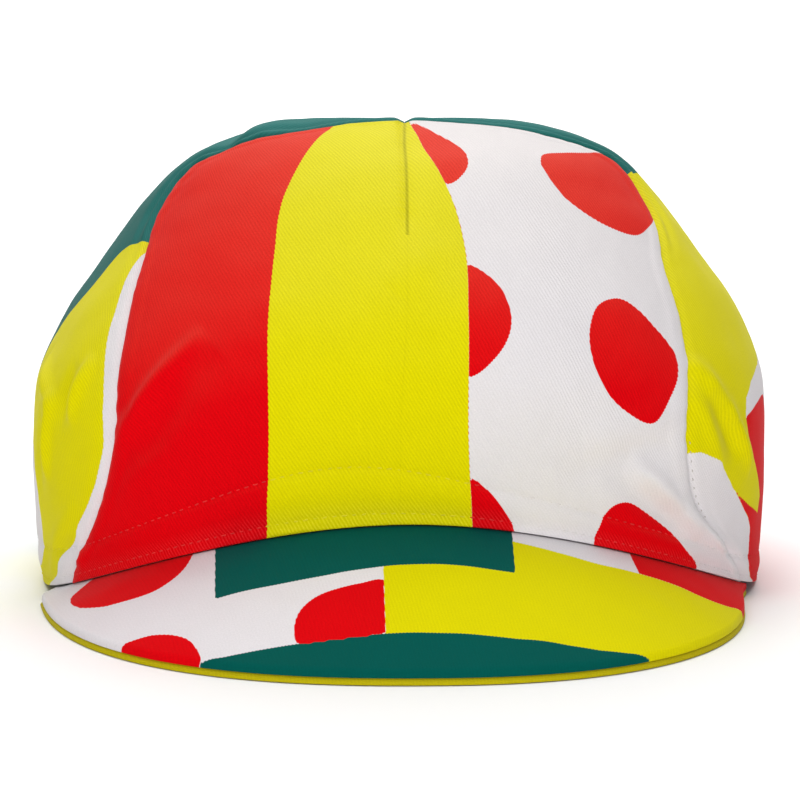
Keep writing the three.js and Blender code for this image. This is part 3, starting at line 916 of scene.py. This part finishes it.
def sweatband():
    """The tape round the inside of the rim."""
    turns = np.linspace(-math.pi, math.pi, 721)[:-1]
    height = BAND_HEIGHT
    steps = np.concatenate([EDGE_STEPS, np.linspace(1.2, height - 1.2, 10), height - EDGE_STEPS[::-1]])
    rises = rise_at(BAND_LIFT + steps)
    turn, rise = np.meshgrid(turns, rises)
    points, normals = crown_point(turn, rise), crown_normal(turn, rise)
    from_edge = np.minimum(steps, height - steps)[:, None]
    sag = 0.12 * wander(points, 24, 12) * smooth_step(from_edge, 0, 2)
    depth = CLOTH_THICKNESS + CLEARANCE + 0.1
    fall = rolled(from_edge)
    outer = points - normals * (depth + fall)[..., None]
    inner = points - normals * (depth + BAND_THICKNESS - 0.1 - fall + 0.3 * sag)[..., None]
    rows, columns = rise.shape
    face, back, walls = shell_faces(rows, columns, ring=True)
    across = turn * CROWN_HALF_WIDTH
    weave = np.stack([across, np.broadcast_to(steps[:, None], across.shape), 0 * across], -1).reshape(-1, 3)
    tape = cloth_material("band_cloth", BAND_WHITE, lean=90.0)
    make_piece(
        "sweatband", np.stack([outer, inner]), np.concatenate([face, walls, back]), [tape],
        node="sweatband", fields={"weave": np.tile(weave, (2, 1))},
    )


PEAK_END_TURN = math.acos(math.sqrt(PEAK_STACK / RIM_ARCH))


def peak_point(across, out):
    """The peak's lower face: across runs from -1 at its left end to 1, out from 0 at the crown to 1."""
    turn = PEAK_END_TURN * across
    root = crown_point(turn, 0) - crown_normal(turn, 0) * CLOTH_THICKNESS
    root[..., 2] -= PEAK_STACK
    sweep = np.radians(PEAK_EDGE_SWEEP) * across
    sine, cosine = np.sin(sweep), np.cos(sweep)
    radius = squared_radius(sine, cosine, np.where(across > 0, PEAK_SQUARE_RIGHT, PEAK_SQUARE))
    edge = np.stack([
        PEAK_HALF_WIDTH * radius * sine + PEAK_SHIFT - PEAK_SKEW * (1 - cosine),
        -PEAK_CENTRE - (PEAK_REACH - PEAK_CENTRE) * radius * cosine,
        np.zeros_like(sine),
    ], -1)
    point = root + (edge - root) * out[..., None]
    point[..., 2] += PEAK_BULGE * np.sin(math.pi * out) * cosine ** 2
    return point


def rounding(inset, reach):
    """How far a rounded edge has yet to rise at an inset from it: 1 at the edge, 0 past its reach."""
    return 1 - np.sqrt(1 - np.clip(1 - inset / reach, 0, 1) ** 2)


def peak_cover(name, bottom, top, proud, reach, share_above, materials, printed):
    """One of the peak's covers. bottom and top are its heights above the peak's lower face, each a pair:
    inside and at the front edge. proud is how far the other cover stands out beyond its edge, reach how far
    in its edge is rounded, and share_above how much of its thickness is rounded from above."""
    ease = np.linspace(-1, 1, 261)
    across = ease * (1.12 - 0.12 * ease ** 2)
    edge_insets = reach * (1 - np.sin(np.linspace(0, math.pi / 2, 9)))
    inner = np.linspace(0, 1, 72)[:-1]
    width = np.linalg.norm(peak_point(across, np.ones(261)) - peak_point(across, np.zeros(261)), axis=-1)
    inside = (width - proud - reach)[None, :] * inner[:, None]
    rim = (width - proud)[None, :] - edge_insets[:, None]
    out = np.concatenate([inside, rim]) / width
    inset = width * (1 - out) - proud
    grid_across = np.broadcast_to(across, out.shape)
    base = peak_point(grid_across, out)
    at_edge = 1 - smooth_step(inset, reach, 3.5 * reach)
    high = top[0] + (top[1] - top[0]) * at_edge
    low = bottom[0] + (bottom[1] - bottom[0]) * at_edge
    fall = rounding(inset, reach) * (high - low - 0.04)
    ends = rolled((1 - np.abs(grid_across)) * PEAK_REACH)
    uneven = 0.16 * wander(base, 34, 21) + 0.05 * wander(base, 12, 22)
    uneven *= smooth_step(out, 0.0, 0.15) * smooth_step(inset, 0.0, 6.0) * printed
    up = np.array([0, 0, 1.0])
    upper = base + up * (high - share_above * fall - ends + uneven)[..., None]
    lower = base + up * (low + (1 - share_above) * fall + 0.5 * ends)[..., None]
    rows, columns = out.shape
    face, back, walls = shell_faces(rows, columns)
    weave = np.stack([base[..., 0], base[..., 1] * 1.08, 0 * out], -1)[::-1].reshape(-1, 3)
    fields = {"weave": np.tile(weave, (2, 1))}
    if printed:
        for key, value in peak_print(base[::-1]).items():
            fields[key] = np.tile(value.ravel(), 2)
    return make_piece(
        name, np.stack([upper[::-1], lower[::-1]]), np.concatenate([face, walls, back]), materials,
        node=name, fields=fields)


# Stitches

def along(points, spacing):
    """Places evenly spaced along a line of points, with the share of the way to each."""
    reached = np.concatenate([[0], np.linalg.norm(np.diff(points, axis=0), axis=1).cumsum()])
    count = max(int(reached[-1] / spacing), 1)
    wanted = (np.arange(count) + 0.5) * reached[-1] / count
    return wanted, reached


def stitch_row(name, points, normals, fields, material, slot, spacing=2.3, length=1.6, thickness=0.32):
    """A row of thread stitches along a line on the cloth, each a small bead that dips at its ends."""
    wanted, reached = along(points, spacing)
    pick = lambda values: np.stack([np.interp(wanted, reached, column) for column in values.T], -1)
    centre, normal = pick(points), unit(pick(normals))
    ahead = pick(np.gradient(points, axis=0))
    ahead = unit(ahead - (ahead * normal).sum(-1, keepdims=True) * normal)
    side = np.cross(normal, ahead)
    rng = np.random.default_rng(len(points))
    tilt = rng.normal(0, 0.09, (len(centre), 1))
    centre += (rng.normal(0, 0.05, (len(centre), 1)) - 0.04) * normal
    ahead, side = unit(ahead + tilt * side), unit(side - tilt * ahead)
    stations = np.array([-1.0, -0.82, -0.45, 0.0, 0.45, 0.82, 1.0])
    swell = np.sqrt(np.clip(1 - np.abs(stations) ** 3.5, 0.01, 1))
    rim = np.linspace(0, 2 * math.pi, 7)[:-1]
    s, a = np.meshgrid(stations, rim, indexing="ij")
    thick = thickness / 2 * swell[:, None]
    local = (s * length / 2, thick * np.cos(a), thick * np.sin(a) * 0.8 + 0.10 - 0.26 * s ** 2)
    mesh_points = centre[:, None, None] + sum(
        axis[:, None, None] * part[None, ..., None] for axis, part in zip((ahead, side, normal), local))
    grid = np.arange(s.size).reshape(s.shape)
    grid = np.concatenate([grid, grid[:, :1]], 1)
    quads = np.stack([grid[:-1, :-1], grid[1:, :-1], grid[1:, 1:], grid[:-1, 1:]], -1).reshape(-1, 4)
    faces = (quads[None] + (np.arange(len(centre)) * s.size)[:, None, None]).reshape(-1, 4)
    values = {key: np.repeat(np.interp(wanted, reached, value), s.size) for key, value in fields.items()}
    across = np.repeat(wanted, s.size)
    values["weave"] = np.stack([across, 0 * across, 0 * across], -1)
    return make_piece(name, mesh_points, faces, [material], fields=values)


def between(grid, rows, columns):
    """Values of a grid at places between its points."""
    row = np.minimum(rows.astype(int), grid.shape[0] - 2)
    column = np.minimum(columns.astype(int), grid.shape[1] - 2)
    spare = (slice(None),) + (None,) * (grid.ndim - 2)
    down, right = (rows - row)[spare], (columns - column)[spare]
    low = grid[row, column] * (1 - right) + grid[row, column + 1] * right
    high = grid[row + 1, column] * (1 - right) + grid[row + 1, column + 1] * right
    return low * (1 - down) + high * down


def line_on(panel, relief, fields, rows, columns):
    """Points, normals and print fields along a line of grid places on a panel."""
    face = panel.point + panel.normal * relief[..., None]
    points, normals = between(face, rows, columns), between(panel.normal, rows, columns)
    return points, normals, {key: between(value, rows, columns) for key, value in fields.items()}


def level_line(panel, height, margin=4):
    """Grid places on a panel at one height above the rim, from seam to seam."""
    columns = np.arange(margin, panel.up.shape[1] - margin)
    places = np.arange(panel.up.shape[0])
    rows = np.array([np.interp(height, panel.up[:, column], places) for column in columns])
    return rows, columns.astype(float)


def seam_line(panel, from_seam, offset, low, high):
    """Grid places beside a seam or the dart, at one distance from it, between two rises."""
    rows = np.flatnonzero((panel.rise[:, 0] > low) & (panel.rise[:, 0] < high))
    places = np.arange(from_seam.shape[1])
    columns = np.array([np.interp(offset, from_seam[row], places) for row in rows])
    return rows.astype(float), columns


def thread_for(name, base):
    return cloth_material(name, base, PRINT_LAYERS, lighten=0.025)


def add_stitches(made, slots):
    """The hem's rows on every panel, the dart's and the right seam's."""
    for (panel, relief, fields), (name, base) in zip(made, slots):
        thread = thread_for(f"{name}_thread", base)
        slot = f"{name}_cloth"
        for label, height in (("hem", HEM_STITCH_HEIGHT), ("band", BAND_STITCH_HEIGHT)):
            line = line_on(panel, relief, fields, *level_line(panel, height))
            stitch_row(f"{name}_{label}_stitches", *line, thread, slot)
        if name == "right":
            places = seam_line(panel, panel.from_left, 1.3, 0.09, 0.215)
            line = line_on(panel, relief, fields, *places)
            # The thread is darkened to paint the shade of the needle holes
            shaded = cloth_material("shaded_seam_thread", SHADED_SEAM_THREAD)
            stitch_row("right_seam_stitches", *line, shaded, slot, spacing=2.2, length=0.9, thickness=0.26)
        if name == "front":
            places = seam_line(panel, from_dart(panel), -0.7, DART_TIP + 0.02, 0.93)
            line = line_on(panel, relief, fields, *places)
            stitch_row("dart_stitches", *line, thread, slot, spacing=2.4, length=0.9, thickness=0.22)


# The room

def plain_material(name, colour, roughness):
    nodes = Nodes(name)
    grain = nodes.add("ShaderNodeTexNoise", {"Scale": 40.0, "Detail": 4.0})
    tone = nodes.mix(grain, tuple(0.985 * c for c in colour), colour)
    nodes.link(tone, "Base Color")
    nodes.shader.inputs["Roughness"].default_value = roughness
    nodes.shader.inputs["Specular IOR Level"].default_value = 0.1
    return nodes.material


def floor():
    bpy.ops.mesh.primitive_plane_add(size=12, location=(0, 0, 0))
    ground = bpy.context.object
    ground.name = "floor"
    ground.data.materials.append(plain_material("floor_paint", (0.93, 0.93, 0.93), 0.9))


def soft_light(name, place, aim, size, power, colour=(1, 1, 1)):
    data = bpy.data.lights.new(name, "AREA")
    data.shape = "RECTANGLE"
    data.size, data.size_y = size
    data.energy = power
    data.color = colour
    light = bpy.data.objects.new(name, data)
    light.location = place
    light.rotation_mode = "QUATERNION"
    light.rotation_quaternion = (Vector(aim) - Vector(place)).to_track_quat("-Z", "Y")
    bpy.context.scene.collection.objects.link(light)


def lights():
    soft_light("key", (-0.45, -1.15, 1.6), (0, 0, 0.05), (0.5, 0.4), 4.6)
    soft_light("fill", (-0.1, -1.7, 0.12), (0, 0, 0.04), (1.0, 0.4), 17)
    soft_light("top", (0.0, 1.1, 2.2), (0, 0.9, 0.0), (3.0, 3.6), 78)
    soft_light("rim", (0.0, 1.8, 1.1), (0, 0, 0.05), (1.2, 0.5), 12, (1.0, 0.97, 0.92))
    world = bpy.data.worlds.new("studio")
    world.use_nodes = True
    background = world.node_tree.nodes["Background"]
    background.inputs["Color"].default_value = (1, 1, 1, 1)
    background.inputs["Strength"].default_value = 0.21
    bpy.context.scene.world = world


def camera():
    """The photograph's viewpoint, aimed so that the crown's origin falls on its pixel."""
    right, up, back = camera_axes()
    place = (ORIGIN + back * CAMERA_DISTANCE) * MM
    focal_pixels = PIXELS_PER_MM * CAMERA_DISTANCE
    aim = (-back * focal_pixels + right * (IMAGE_CENTRE[0] - ORIGIN_PIXEL[0])
           + up * (ORIGIN_PIXEL[1] - IMAGE_CENTRE[1]))
    data = bpy.data.cameras.new("camera")
    data.sensor_width = 36.0
    data.lens = data.sensor_width * focal_pixels / IMAGE_WIDTH
    view = bpy.data.objects.new("camera", data)
    view.location = place
    view.rotation_mode = "QUATERNION"
    view.rotation_quaternion = Vector(aim).to_track_quat("-Z", "Y")
    bpy.context.scene.collection.objects.link(view)
    bpy.context.scene.camera = view


def build():
    front = front_panel()
    left, right = side_panel(-1), side_panel(1)
    sweatband()
    foot = PEAK_UNDER_THICKNESS + PEAK_CLEARANCE
    crest = foot + PEAK_TOP_THICKNESS
    cloth = cloth_material("peak_cloth", WHITE, PRINT_LAYERS, lean=PEAK_LEAN, relief=0.35, top_highlight=0.0)
    peak_cover(
        "peak_top", (foot, 0.95), (crest, crest), PEAK_UNDER_PROUD, 1.4, 0.75, [cloth], 1)
    # The under cover's yellow is darkened as painted shade
    cloth = cloth_material("under_cloth", SHADED_UNDER_YELLOW, lean=PEAK_LEAN, relief=0.5, top_highlight=0.0)
    peak_cover("peak_under", (0, 0), (PEAK_UNDER_THICKNESS, 0.85), 0, 0.5, 0.5, [cloth], 0)
    add_stitches((front, left, right), (("front", RED), ("left", GREEN), ("right", YELLOW)))
    floor()
    lights()
    camera()
    bpy.context.scene.view_settings.view_transform = "Standard"


build()
